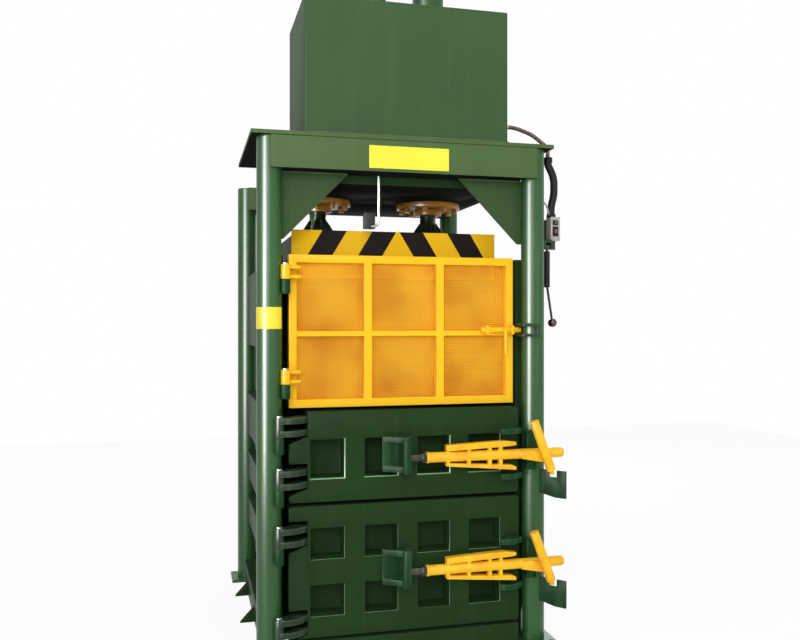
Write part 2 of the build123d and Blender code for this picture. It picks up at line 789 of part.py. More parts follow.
# Latch of each green door: bracket and guides, swinging arm, tilting lever, catch and pad on the column
def latch_bracket(z):
    face = front_y + door_face - seat_gap
    top = z + latch_barrel_up
    bottom = z - latch_barrel_down
    upper_z = z + latch_eye_h / 2 + knuckle_gap
    lower_z = z - latch_eye_h / 2 - knuckle_gap
    skin = face - bracket_t
    outline = [
        (bracket_x0, face),
        (bracket_x1, face),
        (bracket_x1, skin),
        (latch_x, latch_y),
        (latch_x - 26, latch_y),
        (bracket_x0, skin),
    ]
    bracket = block(bracket_x0, bracket_x1, skin, face, bottom, top)
    bracket += plan_plate(outline, top - bracket_web, top)
    bracket += plan_plate(outline, bottom, bottom + bracket_web)
    bracket += upright(latch_x, latch_y, upper_z, top, latch_barrel_d)
    bracket += upright(latch_x, latch_y, bottom, lower_z, latch_barrel_d)
    bracket -= upright(latch_x, latch_y, bottom - 1, top + 1, latch_pin_d + 2 * pin_gap)
    pin = upright(latch_x, latch_y, bottom, top, latch_pin_d)
    pieces = [bracket, pin]
    for low in (z + latch_guide_up, z - latch_guide_down - latch_guide_t):
        outline = [
            (475, face),
            (560, face),
            (560, face - 48),
            (505, face - 82),
            (452, face - 82),
            (440, face - 66),
        ]
        pieces.append(plan_plate(outline, low, low + latch_guide_t))
    return pieces


def latch_arm(z):
    arm = bar_x(latch_tube_x0, latch_tube_x1 - 8, latch_y, z, latch_tube_d)
    arm += bar_x(latch_tube_x1 - 8, latch_tube_x1, latch_y, z, latch_tube_d - 8)
    y0 = latch_y - strap_depth / 2
    y1 = latch_y + strap_depth / 2
    upper = [
        (strap_x0, z + 27),
        (strap_x0, z + 55),
        (strap_x1 - 60, z + 68),
        (strap_x1, z + 60),
        (strap_x1, z + 46),
        (strap_x1 - 20, z + 42),
    ]
    lower = [
        (strap_x0, z - 29),
        (strap_x0, z - 43),
        (strap_x1, z - 73),
        (strap_x1, z - 58),
        (strap_x1 - 20, z - 49),
    ]
    arm += front_plate(upper, y0, y1)
    arm += front_plate(lower, y0, y1)
    for x in (strap_x0 + spacer_w / 2,) + spacer_xs:
        foot = z - 50 if x > strap_x0 + 20 else z - 40
        arm += block(x - spacer_w / 2, x + spacer_w / 2, y0 + 4, y1 - 4, foot, z + 50)
    tongue_y = latch_y - latch_tube_d / 2
    pin_z = z - lever_drop
    tongue = [
        (lever_x - 120, z + 16),
        (lever_x - 75, z + 20),
        (lever_x + 14, pin_z + 18),
        (lever_x + 20, pin_z),
        (lever_x + 12, pin_z - 18),
        (lever_x - 24, pin_z - 16),
        (lever_x - 120, z - 20),
    ]
    arm += front_plate(tongue, tongue_y - 7, tongue_y - 7 + tongue_t)
    arm -= bar_y(lever_x, latch_y - 60, latch_y - 4, pin_z, lever_pin_d + 2 * pin_gap)
    return arm


def latch_rod(z):
    rod = upright(latch_x, latch_y, z - latch_eye_h / 2, z + latch_eye_h / 2, latch_barrel_d)
    rod += bar_x(latch_x, latch_tube_x0 - seat_gap, latch_y, z, latch_rod_d)
    rod -= upright(latch_x, latch_y, z - latch_eye_h, z + latch_eye_h, latch_pin_d + 2 * pin_gap)
    return rod


def latch_lever(z):
    pin_z = z - lever_drop
    turn = Pos(lever_x, lever_y, pin_z) * Rot(0, -lever_tilt, 0)
    lever = turn * Pos(0, 0, (lever_up - lever_down) / 2) * Cylinder(lever_d / 2, lever_up + lever_down)
    lever += turn * Pos(0, 0, -lever_down - tip_length / 2) * Cylinder(tip_d / 2, tip_length)
    lever += bar_y(lever_x, lever_y, latch_y - 6, pin_z, lever_pin_d)
    return lever


def latch_catch(z):
    top = z - catch_drop
    low = top - catch_height
    plate = Box(catch_reach, catch_t, catch_height, align=(Align.MIN, Align.CENTER, Align.MIN))
    plate -= Pos(catch_reach / 2, 0, catch_height) * Box(catch_notch_w, catch_t * 2, catch_notch_h * 2)
    plate -= Rot(0, catch_taper, 0) * Box(2 * catch_reach + 50, catch_t * 2, 30)
    plate = Pos(front_x + 20, front_y - column_r + 4, low) * Rot(0, 0, -catch_turn) * plate
    pad_y0 = front_y - column_r - pad_proud
    pad = block(pad_x0, pad_x1, pad_y0, front_y - column_r / 2, z - pad_down, z + pad_up)
    pad -= upright(front_x, front_y, z - pad_down - 1, z + pad_up + 1, column_hole)
    return [plate - upright(front_x, front_y, low - 1, top + 1, column_hole), pad]


for name, z in (("upper", upper_latch_z), ("lower", lower_latch_z)):
    save(latch_bracket(z), f"{name}_latch_bracket")
    save(latch_arm(z), f"{name}_latch_arm")
    save(latch_rod(z), f"{name}_latch_rod")
    save(latch_lever(z), f"{name}_latch_lever")
save(latch_catch(upper_latch_z) + latch_catch(lower_latch_z), "latch_catches")

# Control box with two buttons
box_x0 = control_x - control_w / 2
box_y0 = control_y - control_d / 2
control = block(box_x0, box_x0 + control_w, box_y0, box_y0 + control_d, control_top - control_h, control_top)
control = fillet(control.edges(), 4)
for z in (start_z, stop_z):
    control -= bar_y(control_x, box_y0 - 1, box_y0 + 24, z, button_d + 2 * slide_gap)
save(control, "control_box")
for name, z in (("start_button", start_z), ("stop_button", stop_z)):
    button = bar_y(control_x, box_y0 - button_proud, box_y0 + 18, z, button_d)
    save(fillet(button.edges().sort_by(Axis.Y)[:1], 2), name)

# Valve with its mounting plate, and the hanging lever
plate_y = control_y + control_d / 2 + seat_gap
valve_z0 = valve_top - valve_h
mount = block(front_x, box_x0 + control_w, plate_y, plate_y + bracket_plate_t, valve_z0, control_top - 10)
mount -= upright(front_x, front_y, valve_z0 - 1, control_top, column_hole)
lever_pivot_z = valve_z0 + 12
valve = block(valve_x - valve_w / 2, valve_x + valve_w / 2, control_y - 30, plate_y + 1, valve_z0, valve_top)
valve -= block(valve_x - 14, valve_x + 14, control_y - 31, control_y + 16, valve_z0 - 1, valve_z0 + 30)
valve_pin = bar_x(valve_x - valve_w / 2, valve_x + valve_w / 2, control_y - 8, lever_pivot_z, 10)
save(mount + valve + valve_pin, "valve_body")
stick_y = control_y - 8
grip_top = valve_z0 - 8
boss = bar_x(valve_x - 12, valve_x + 12, stick_y, lever_pivot_z, lever_boss_d)
boss += upright(valve_x, stick_y, grip_top - 2, lever_pivot_z, 14)
boss -= bar_x(valve_x - 20, valve_x + 20, stick_y, lever_pivot_z, 10 + 2 * pin_gap)
grip_bottom = grip_top - grip_length
stick_start = Vector(valve_x, stick_y, grip_bottom + 12)
stick_end = Vector(knob_x, stick_y, knob_z)
stick_length = (stick_end - stick_start).length - knob_d / 2 + 10
lean = math.degrees(math.atan2(knob_x - valve_x, stick_start.Z - knob_z))
stick = Pos(0, 0, -stick_length / 2) * Cylinder(stick_d / 2, stick_length)
stick = Pos(stick_start) * Rot(0, -lean, 0) * stick
core = upright(valve_x, stick_y, grip_bottom + 8, grip_top, stick_d)
save(boss + core + stick, "valve_lever")
grip = upright(valve_x, stick_y, grip_bottom, grip_top - 3, grip_d)
grip = fillet(grip.edges(), 6)
save(grip - core - stick, "lever_sleeve")
knob = Pos(stick_end) * Sphere(knob_d / 2)
save(knob - stick, "lever_knob")

# Hose from the housing to the conduit, the conduit and a short cable
conduit_top = top_z - 24
route = [
    (housing_half_x - housing_t - 14, hose_start_y, hose_start_z),
    (housing_half_x + 80, hose_start_y, hose_start_z),
    (hose_drop_x - 86, control_y - 6, hose_start_z - 30),
    (hose_drop_x - 24, control_y, hose_start_z - 72),
    (hose_drop_x, control_y, conduit_top + 60),
    (hose_drop_x, control_y, conduit_top),
]


def route_radii(points):
    radii = []
    for a, b, c in zip(points, points[1:], points[2:]):
        before = Vector(*b) - Vector(*a)
        after = Vector(*c) - Vector(*b)
        turn = math.radians(before.get_angle(after))
        radii.append(0.45 * min(before.length, after.length) / math.tan(turn / 2))
    print("radii", [round(r) for r in radii])
    return radii


def tube_on(points, d):
    path = FilletPolyline(*points, radius=route_radii(points))
    return sweep(Plane(path @ 0, z_dir=path % 0) * Circle(d / 2), path=path)


save(tube_on(route, hose_d), "hydraulic_hose")
conduit_route = [
    (hose_drop_x, control_y, conduit_top),
    (hose_drop_x, control_y, conduit_top - 26),
    (conduit_bulge_x, control_y, conduit_top - 92),
    (conduit_bulge_x, control_y, control_top + 112),
    (conduit_end_x, control_y, control_top + 56),
    (conduit_end_x, control_y, control_top),
]
save(tube_on(conduit_route, conduit_d), "control_conduit")

# Blank plates: one on the beam, one band round the left column
nameplate = block(
    -nameplate_w / 2,
    nameplate_w / 2,
    beam_front_y - nameplate_t - seat_gap,
    beam_front_y - seat_gap,
    nameplate_z - nameplate_h / 2,
    nameplate_z + nameplate_h / 2,
)
band_r = column_r + seat_gap
band = upright(-front_x, front_y, band_z, band_z + band_h, 2 * (band_r + band_t))
band -= upright(-front_x, front_y, band_z - 1, band_z + band_h + 1, 2 * band_r)
band -= block(-front_x - 100, -front_x + 100, front_y + 10, front_y + 100, band_z - 1, band_z + band_h + 1)
save([nameplate, band], "blank_plates")

# Limit switch behind its hooked rod
switch_hook = [
    (switch_x, switch_y, beam_bottom - seat_gap),
    (switch_x, switch_y, switch_rod_bottom),
    (switch_x - 36, switch_y, switch_rod_bottom - 8),
]
hook_path = FilletPolyline(*switch_hook, radius=22)
hook = sweep(Plane(hook_path @ 0, z_dir=hook_path % 0) * Circle(switch_rod_d / 2), path=hook_path)
save(hook, "switch_rod")
switch_y0 = switch_y + switch_rod_d / 2 + seat_gap
switch = block(
    switch_x - switch_shift - switch_w / 2,
    switch_x - switch_shift + switch_w / 2,
    switch_y0,
    switch_y0 + switch_depth,
    switch_top - switch_h,
    switch_top,
)
save(switch, "limit_switch")
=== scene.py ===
import json
import math
import bpy
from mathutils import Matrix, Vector


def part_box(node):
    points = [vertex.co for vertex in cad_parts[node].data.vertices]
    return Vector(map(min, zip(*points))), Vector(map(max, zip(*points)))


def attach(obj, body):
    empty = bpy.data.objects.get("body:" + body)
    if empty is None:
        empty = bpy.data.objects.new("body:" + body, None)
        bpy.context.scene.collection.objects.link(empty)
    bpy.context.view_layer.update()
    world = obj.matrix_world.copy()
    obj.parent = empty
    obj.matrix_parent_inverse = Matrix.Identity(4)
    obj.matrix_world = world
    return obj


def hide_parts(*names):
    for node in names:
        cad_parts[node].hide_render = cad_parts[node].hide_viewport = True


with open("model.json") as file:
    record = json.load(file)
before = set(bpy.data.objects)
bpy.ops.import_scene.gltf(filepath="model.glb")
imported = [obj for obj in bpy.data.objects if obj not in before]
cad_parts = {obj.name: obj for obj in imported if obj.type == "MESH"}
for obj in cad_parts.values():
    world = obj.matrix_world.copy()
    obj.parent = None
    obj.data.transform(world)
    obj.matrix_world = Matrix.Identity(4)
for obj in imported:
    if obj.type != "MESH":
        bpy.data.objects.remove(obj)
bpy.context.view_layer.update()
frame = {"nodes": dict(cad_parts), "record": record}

nodes = frame["nodes"]
print("frame loaded,", len(nodes), "nodes")


# Colour helper: the values below are written as seen on screen, 0 to 255
def screenColour(r, g, b):
    def toLinear(value):
        value = value / 255
        return value / 12.92 if value <= 0.04045 else ((value + 0.055) / 1.055) ** 2.4
    return (toLinear(r), toLinear(g), toLinear(b), 1.0)


# Shader groups: they put out colours, masks, values and normals only
def newGroup(name, inputs, outputs):
    group = bpy.data.node_groups.new(name, "ShaderNodeTree")
    for direction, sockets in (("INPUT", inputs), ("OUTPUT", outputs)):
        for label, kind in sockets:
            group.interface.new_socket(name=label, in_out=direction, socket_type="NodeSocket" + kind)
    return group, group.nodes.new("NodeGroupInput"), group.nodes.new("NodeGroupOutput")


def addNode(tree, kind, values=None, **settings):
    node = tree.nodes.new(kind)
    for key, value in settings.items():
        setattr(node, key, value)
    for key, value in (values or {}).items():
        node.inputs[key].default_value = value
    return node


def mathNode(tree, operation, a, b=None, clamp=False):
    node = addNode(tree, "ShaderNodeMath", operation=operation, use_clamp=clamp)
    for index, value in enumerate((a, b)):
        if value is None:
            continue
        if isinstance(value, (int, float)):
            node.inputs[index].default_value = value
        else:
            tree.links.new(value, node.inputs[index])
    return node.outputs[0]


def mixColours(tree, factor, a, b):
    node = addNode(tree, "ShaderNodeMix", data_type="RGBA")
    for socket, value in ((node.inputs[0], factor), (node.inputs[6], a), (node.inputs[7], b)):
        if isinstance(value, tuple):
            socket.default_value = value
        else:
            tree.links.new(value, socket)
    return node.outputs[2]


# Worn edges, partly a painted highlight on the edges: where the rounded normal leaves the real one, broken up by noise
edgeValues = {"samples": 4, "noise": {"Scale": 40.0, "Detail": 4.0, "Roughness": 0.7}, "gain": 9.0, "cut": 0.12}


def buildEdgeGroup():
    group, start, end = newGroup("edgeWearAndHighlight", [("Radius", "Float")], [("Mask", "Float"), ("Normal", "Vector")])
    links = group.links
    bevel = addNode(group, "ShaderNodeBevel", samples=edgeValues["samples"])
    links.new(start.outputs["Radius"], bevel.inputs["Radius"])
    geometry = addNode(group, "ShaderNodeNewGeometry")
    dot = addNode(group, "ShaderNodeVectorMath", operation="DOT_PRODUCT")
    links.new(bevel.outputs[0], dot.inputs[0])
    links.new(geometry.outputs["Normal"], dot.inputs[1])
    bent = mathNode(group, "SUBTRACT", 1.0, dot.outputs["Value"])
    place = addNode(group, "ShaderNodeTexCoord")
    noise = addNode(group, "ShaderNodeTexNoise", edgeValues["noise"])
    links.new(place.outputs["Object"], noise.inputs["Vector"])
    torn = mathNode(group, "MULTIPLY", bent, mathNode(group, "MULTIPLY", noise.outputs[0], edgeValues["gain"]))
    links.new(mathNode(group, "SUBTRACT", torn, edgeValues["cut"], clamp=True), end.inputs["Mask"])
    links.new(bevel.outputs[0], end.inputs["Normal"])
    return group


# Paint coat: clouded colour, dusty runs, worn edges partly painted as a highlight, and an uneven gloss
coatValues = {
    "cloud": {"Detail": 6.0, "Roughness": 0.6}, "cloudMiddle": 0.42, "cloudGain": 2.6, "cloudGloss": 0.1,
    "grain": {"Scale": 240.0, "Detail": 3.0}, "grainHeight": 0.35,
    "runs": {"Scale": 1.0, "Detail": 5.0, "Roughness": 0.65}, "runStretch": (26.0, 26.0, 1.2),
    "runMiddle": 0.5, "runGain": 4.0, "runGloss": 0.16, "glossDrop": 0.12,
}


def buildCoatGroup():
    group, start, end = newGroup(
        "paintCoat",
        [("Colour", "Color"), ("Shade", "Color"), ("Dust, Wear And Highlight Colour", "Color"), ("Wear And Highlight", "Float"),
         ("Edge", "Float"), ("Roughness", "Float"), ("Cloud Scale", "Float"), ("Dust", "Float")],
        [("Colour", "Color"), ("Roughness", "Float"), ("Height", "Float")],
    )
    links = group.links
    place = addNode(group, "ShaderNodeTexCoord")
    cloud = addNode(group, "ShaderNodeTexNoise", coatValues["cloud"])
    links.new(place.outputs["Object"], cloud.inputs["Vector"])
    links.new(start.outputs["Cloud Scale"], cloud.inputs["Scale"])
    grain = addNode(group, "ShaderNodeTexNoise", coatValues["grain"])
    links.new(place.outputs["Object"], grain.inputs["Vector"])
    streak = addNode(group, "ShaderNodeMapping", {"Scale": coatValues["runStretch"]})
    links.new(place.outputs["Object"], streak.inputs["Vector"])
    runs = addNode(group, "ShaderNodeTexNoise", coatValues["runs"])
    links.new(streak.outputs[0], runs.inputs["Vector"])
    spread = mathNode(group, "SUBTRACT", cloud.outputs[0], coatValues["cloudMiddle"])
    spread = mathNode(group, "MULTIPLY", spread, coatValues["cloudGain"], clamp=True)
    base = mixColours(group, spread, start.outputs["Colour"], start.outputs["Shade"])
    dusty = mathNode(group, "SUBTRACT", runs.outputs[0], coatValues["runMiddle"], clamp=True)
    dusty = mathNode(group, "MULTIPLY", dusty, coatValues["runGain"], clamp=True)
    dusty = mathNode(group, "MULTIPLY", dusty, start.outputs["Dust"])
    base = mixColours(group, dusty, base, start.outputs["Dust, Wear And Highlight Colour"])
    # Edges mixed towards the light edge colour: partly wear, partly a painted highlight
    wornAndHighlit = mathNode(group, "MULTIPLY", start.outputs["Edge"], start.outputs["Wear And Highlight"], clamp=True)
    links.new(mixColours(group, wornAndHighlit, base, start.outputs["Dust, Wear And Highlight Colour"]), end.inputs["Colour"])
    gloss = mathNode(group, "MULTIPLY", runs.outputs[0], coatValues["runGloss"])
    rough = mathNode(group, "ADD", start.outputs["Roughness"], gloss)
    rough = mathNode(group, "ADD", rough, mathNode(group, "MULTIPLY", cloud.outputs[0], coatValues["cloudGloss"]))
    links.new(mathNode(group, "SUBTRACT", rough, coatValues["glossDrop"], clamp=True), end.inputs["Roughness"])
    fine = mathNode(group, "MULTIPLY", grain.outputs[0], coatValues["grainHeight"])
    links.new(mathNode(group, "ADD", fine, cloud.outputs[0]), end.inputs["Height"])
    return group


edgeGroup = buildEdgeGroup()
coatGroup = buildCoatGroup()


# What a finish has where it doesn't say otherwise
plainLook = {"edgeRadius": 0.004, "wearAndHighlight": 0.4, "cloud": 2.5, "dust": 0.12, "bump": 0.12, "bumpDistance": 0.002,
             "metallic": 0.0, "specular": 0.5, "coat": 0.0, "coatRoughness": 0.12}


def coatMaterial(name, finish):
    look = {**plainLook, **finish}
    material = bpy.data.materials.new(name)
    material.use_nodes = True
    tree = material.node_tree
    shader = tree.nodes["Principled BSDF"]
    edge = addNode(tree, "ShaderNodeGroup", node_tree=edgeGroup)
    edge.inputs["Radius"].default_value = look["edgeRadius"]
    coat = addNode(tree, "ShaderNodeGroup", node_tree=coatGroup)
    for label, key in (("Colour", "colour"), ("Shade", "shade"), ("Dust, Wear And Highlight Colour", "dustWearAndHighlightColour")):
        coat.inputs[label].default_value = screenColour(*look[key])
    for label, key in (("Wear And Highlight", "wearAndHighlight"), ("Roughness", "roughness"), ("Cloud Scale", "cloud"), ("Dust", "dust")):
        coat.inputs[label].default_value = look[key]
    tree.links.new(edge.outputs["Mask"], coat.inputs["Edge"])
    tree.links.new(coat.outputs["Colour"], shader.inputs["Base Color"])
    tree.links.new(coat.outputs["Roughness"], shader.inputs["Roughness"])
    bump = addNode(tree, "ShaderNodeBump", {"Strength": look["bump"], "Distance": look["bumpDistance"]})
    tree.links.new(coat.outputs["Height"], bump.inputs["Height"])
    tree.links.new(edge.outputs["Normal"], bump.inputs["Normal"])
    tree.links.new(bump.outputs[0], shader.inputs["Normal"])
    shader.inputs["Metallic"].default_value = look["metallic"]
    shader.inputs["Specular IOR Level"].default_value = look["specular"]
    shader.inputs["Coat Weight"].default_value = look["coat"]
    shader.inputs["Coat Roughness"].default_value = look["coatRoughness"]
    return material


finishes = {
    "panelGreen": {"colour": (66, 91, 59), "shade": (62, 85, 55), "dustWearAndHighlightColour": (128, 152, 116),
                   "wearAndHighlight": 0.35, "roughness": 0.5, "dust": 0.06, "specular": 0.03},
    # Painted shade: the frame green made darker where the beam shades the gussets
    "gussetGreenPaintedShade": {"colour": (63, 87, 53), "shade": (59, 81, 50), "dustWearAndHighlightColour": (120, 144, 108),
                    "wearAndHighlight": 0.4, "roughness": 0.5, "dust": 0.06, "specular": 0.04},
    # Painted light: the frame green made lighter where light falls on the beams
    "beamGreenPaintedLight": {"colour": (81, 105, 64), "shade": (76, 99, 60), "dustWearAndHighlightColour": (142, 166, 124),
                  "wearAndHighlight": 0.4, "roughness": 0.5, "dust": 0.06, "specular": 0.04},
    "doorGreen": {"colour": (36, 60, 30), "shade": (34, 56, 29), "dustWearAndHighlightColour": (120, 160, 116),
                  "wearAndHighlight": 0.3, "edgeRadius": 0.003, "roughness": 0.4, "dust": 0.02, "specular": 0.03},
    "tubeGreen": {"colour": (42, 88, 40), "shade": (36, 74, 34), "dustWearAndHighlightColour": (130, 170, 126),
                  "wearAndHighlight": 0.3, "roughness": 0.33, "dust": 0.04, "specular": 0.3},
    "hingeGreen": {"colour": (28, 50, 28), "shade": (26, 36, 22), "dustWearAndHighlightColour": (120, 158, 116),
                   "wearAndHighlight": 0.9, "edgeRadius": 0.005, "roughness": 0.34, "cloud": 9.0, "dust": 0.2, "specular": 0.25},
    "latchGreen": {"colour": (32, 66, 36), "shade": (24, 50, 28), "dustWearAndHighlightColour": (140, 190, 140),
                   "wearAndHighlight": 0.8, "roughness": 0.42, "cloud": 9.0, "specular": 0.04},
    # Painted shade for faces that turn downwards
    "shadowGreen": {"colour": (20, 22, 18), "shade": (14, 15, 13), "dustWearAndHighlightColour": (44, 48, 42),
                    "roughness": 0.8, "dust": 0.06, "cloud": 4.0, "specular": 0.02},
    "yellowPaint": {"colour": (255, 198, 30), "shade": (252, 186, 20), "dustWearAndHighlightColour": (255, 218, 96),
                    "wearAndHighlight": 0.35, "roughness": 0.36, "dust": 0.03, "specular": 0.12},
    "latchYellow": {"colour": (255, 196, 32), "shade": (236, 156, 18), "dustWearAndHighlightColour": (255, 220, 110),
                    "wearAndHighlight": 0.45, "roughness": 0.34, "dust": 0.08, "cloud": 12.0, "specular": 0.2},
    # Partly painted shade: the yellow clouds into dark brown patches that stand in for shade on the mesh
    "meshYellowPaintedShade": {"colour": (252, 184, 44), "shade": (190, 92, 22), "dustWearAndHighlightColour": (250, 182, 70),
                   "wearAndHighlight": 0.1, "roughness": 0.5, "dust": 0.05, "cloud": 3.4, "specular": 0.05},
    "flangeYellow": {"colour": (238, 160, 40), "shade": (150, 86, 18), "dustWearAndHighlightColour": (236, 190, 92),
                     "roughness": 0.36, "cloud": 9.0, "dust": 0.3, "specular": 0.4},
    "plateYellow": {"colour": (250, 232, 66), "shade": (244, 224, 58), "dustWearAndHighlightColour": (255, 250, 170),
                    "roughness": 0.38, "dust": 0.03, "specular": 0.2},
    "steel": {"colour": (172, 174, 168), "shade": (120, 122, 116), "dustWearAndHighlightColour": (220, 220, 214),
              "roughness": 0.28, "metallic": 1.0, "cloud": 14.0},
    "darkSteel": {"colour": (58, 60, 52), "shade": (38, 40, 34), "dustWearAndHighlightColour": (170, 172, 160),
                  "wearAndHighlight": 0.5, "roughness": 0.24, "metallic": 0.7, "cloud": 10.0},
    # Painted reflection: the chrome colour tinted green, as if mirroring the green paint around it
    "rodSteelPaintedReflection": {"colour": (70, 92, 72), "shade": (34, 44, 36), "dustWearAndHighlightColour": (180, 200, 178),
                 "roughness": 0.18, "metallic": 0.8, "cloud": 5.0},
    "castDark": {"colour": (30, 31, 28), "shade": (20, 21, 19), "dustWearAndHighlightColour": (84, 86, 78),
                 "roughness": 0.55, "bump": 0.3, "specular": 0.2},
    "rubber": {"colour": (32, 36, 33), "shade": (18, 20, 18), "dustWearAndHighlightColour": (66, 68, 62),
               "roughness": 0.5, "bump": 0.3, "cloud": 20.0, "specular": 0.2},
    "hoseRubber": {"colour": (104, 78, 66), "shade": (66, 50, 44), "dustWearAndHighlightColour": (160, 124, 104),
                   "roughness": 0.4, "bump": 0.3, "cloud": 16.0, "dust": 0.4},
    "greyPlastic": {"colour": (178, 176, 168), "shade": (150, 148, 140), "dustWearAndHighlightColour": (224, 222, 214),
                    "roughness": 0.42, "cloud": 18.0, "specular": 0.25},
    "blackPlastic": {"colour": (12, 12, 13), "shade": (8, 8, 9), "dustWearAndHighlightColour": (64, 64, 64),
                     "roughness": 0.35, "specular": 0.2},
    "redPlastic": {"colour": (72, 10, 24), "shade": (50, 6, 14), "dustWearAndHighlightColour": (220, 110, 110),
                   "roughness": 0.22, "coat": 0.2},
    "greenPlastic": {"colour": (10, 14, 12), "shade": (6, 9, 8), "dustWearAndHighlightColour": (90, 150, 100),
                     "roughness": 0.25},
    "knobRed": {"colour": (58, 8, 20), "shade": (40, 5, 12), "dustWearAndHighlightColour": (170, 60, 70),
                "roughness": 0.16, "coat": 0.7},
    # Painted highlight: light green for the window edges that face left or up
    "paintedHighlightGreen": {"colour": (112, 152, 108), "shade": (96, 134, 92), "dustWearAndHighlightColour": (160, 190, 156),
                 "roughness": 0.3, "specular": 0.6, "cloud": 12.0},
    "rivetGrey": {"colour": (190, 190, 180), "shade": (150, 150, 142), "dustWearAndHighlightColour": (230, 230, 224),
                  "roughness": 0.3, "metallic": 0.9, "cloud": 30.0},
}
materials = {name: coatMaterial(name, look) for name, look in finishes.items()}


# Warning stripes of the ram board, slanted towards the middle
stripes = {
    "middle": 0.0095, "start": 0.0085, "pitch": 0.25, "barWidth": 0.122, "bars": 2, "lean": 0.6, "depth": 0.142,
    "spare": 0.01, "specular": 0.03, "roughness": 0.6,
    "yellow": ((255, 201, 34), (255, 194, 26), (255, 224, 120)),
    "black": ((36, 29, 27), (38, 32, 30), (92, 84, 78)),
}


def stripeMaterial():
    board = dict(finishes["yellowPaint"], specular=stripes["specular"], roughness=stripes["roughness"])
    material = coatMaterial("stripedBoard", board)
    tree = material.node_tree
    coat = next(n for n in tree.nodes if n.type == "GROUP" and n.node_tree == coatGroup)
    place = addNode(tree, "ShaderNodeTexCoord")
    split = addNode(tree, "ShaderNodeSeparateXYZ")
    tree.links.new(place.outputs["Object"], split.inputs[0])
    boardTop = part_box("striped_board")[1][2]
    side = mathNode(tree, "ABSOLUTE", mathNode(tree, "SUBTRACT", split.outputs["X"], stripes["middle"]))
    drop = mathNode(tree, "SUBTRACT", split.outputs["Z"], boardTop)
    slanted = mathNode(tree, "ADD", side, mathNode(tree, "MULTIPLY", drop, stripes["lean"]))
    moved = mathNode(tree, "SUBTRACT", slanted, stripes["start"])
    along = mathNode(tree, "MODULO", moved, stripes["pitch"])
    painted = mathNode(tree, "MULTIPLY", mathNode(tree, "LESS_THAN", along, stripes["barWidth"]),
                       mathNode(tree, "GREATER_THAN", moved, 0.0))
    lastBar = stripes["pitch"] * (stripes["bars"] - 1) + stripes["barWidth"] + stripes["spare"]
    bar = mathNode(tree, "MULTIPLY", painted, mathNode(tree, "LESS_THAN", moved, lastBar))
    bar = mathNode(tree, "MULTIPLY", bar, mathNode(tree, "GREATER_THAN", drop, -stripes["depth"]))
    for label, yellow, black in zip(("Colour", "Shade", "Dust, Wear And Highlight Colour"), stripes["yellow"], stripes["black"]):
        mixed = mixColours(tree, bar, screenColour(*yellow), screenColour(*black))
        tree.links.new(mixed, coat.inputs[label])
    return material


materials["stripedBoard"] = stripeMaterial()
print("materials ready")


# Finish of each carried-over node
nodeFinish = {
    "panelGreen": ["head_housing", "head_housing_cover"],
    "beamGreenPaintedLight": ["front_beam", "rear_beam", "top_plate"],
    "gussetGreenPaintedShade": ["corner_gussets"],
    "doorGreen": ["upper_door", "lower_door", "crosshead", "ram_platen", "base_rails", "left_side_wall",
                  "right_side_wall", "rear_wall", "chamber_floor"],
    "tubeGreen": ["front_left_column", "front_right_column", "rear_left_column", "rear_right_column",
                  "cylinder_barrels", "rear_post", "column_feet"],
    "hingeGreen": ["upper_door_hinges", "lower_door_hinges", "bolt_keeper", "valve_body"],
    "latchGreen": ["column_knuckles", "upper_latch_bracket", "lower_latch_bracket", "latch_catches"],
    "yellowPaint": ["feed_door_frame", "feed_door_knuckles", "bolt_guides", "slide_bolt"],
    "latchYellow": ["upper_latch_arm", "lower_latch_arm", "upper_latch_lever", "lower_latch_lever"],
    "meshYellowPaintedShade": ["feed_door_mesh"],
    "flangeYellow": ["cylinder_flanges", "flange_bolts", "gland_rings"],
    "plateYellow": ["blank_plates"],
    "stripedBoard": ["striped_board"],
    "steel": ["hinge_pins", "switch_rod"],
    "darkSteel": ["valve_lever", "upper_latch_rod", "lower_latch_rod"],
    "rodSteelPaintedReflection": ["ram_rods"],
    "castDark": ["limit_switch", "motor_and_pump", "oil_tank"],
    "rubber": ["control_conduit", "lever_sleeve"],
    "hoseRubber": ["hydraulic_hose"],
    "greyPlastic": ["control_box"],
    "redPlastic": ["stop_button"],
    "greenPlastic": ["start_button"],
    "knobRed": ["lever_knob"],
}
finishOf = {name: finish for finish, names in nodeFinish.items() for name in names}
for name, finish in finishOf.items():
    mesh = nodes[name].data
    mesh.materials.clear()
    mesh.materials.append(materials[finish])
print("nodes painted")

record = frame["record"]
bodyOf = {name: body for body, names in record["behaviour"]["bodies"].items() for name in names}


# Modelling helpers
alongX = (0, math.radians(90), 0)
alongY = (math.radians(90), 0, 0)


def clearSelection():
    bpy.ops.object.select_all(action="DESELECT")


def startCube(name, low, high):
    clearSelection()
    centre = [(a + b) / 2 for a, b in zip(low, high)]
    bpy.ops.mesh.primitive_cube_add(size=1.0, location=centre)
    piece = bpy.context.object
    piece.name = name
    piece.scale = [b - a for a, b in zip(low, high)]
    bpy.ops.object.transform_apply(location=True, rotation=True, scale=True)
    return piece


def startRound(name, place, radius, length, sides=48, turn=(0, 0, 0)):
    clearSelection()
    bpy.ops.mesh.primitive_cylinder_add(
        vertices=sides, radius=radius, depth=length, location=place, rotation=turn)
    piece = bpy.context.object
    piece.name = name
    bpy.ops.object.transform_apply(location=True, rotation=True, scale=True)
    return piece


def pickFaces(piece, test):
    clearSelection()
    piece.select_set(True)
    mesh = piece.data
    for item in list(mesh.vertices) + list(mesh.edges):
        item.select = False
    for face in mesh.polygons:
        face.select = bool(test(face))
    bpy.context.view_layer.objects.active = piece
    bpy.ops.object.mode_set(mode="EDIT")
    bpy.ops.mesh.select_mode(type="FACE")


def leaveEdit():
    bpy.ops.object.mode_set(mode="OBJECT")


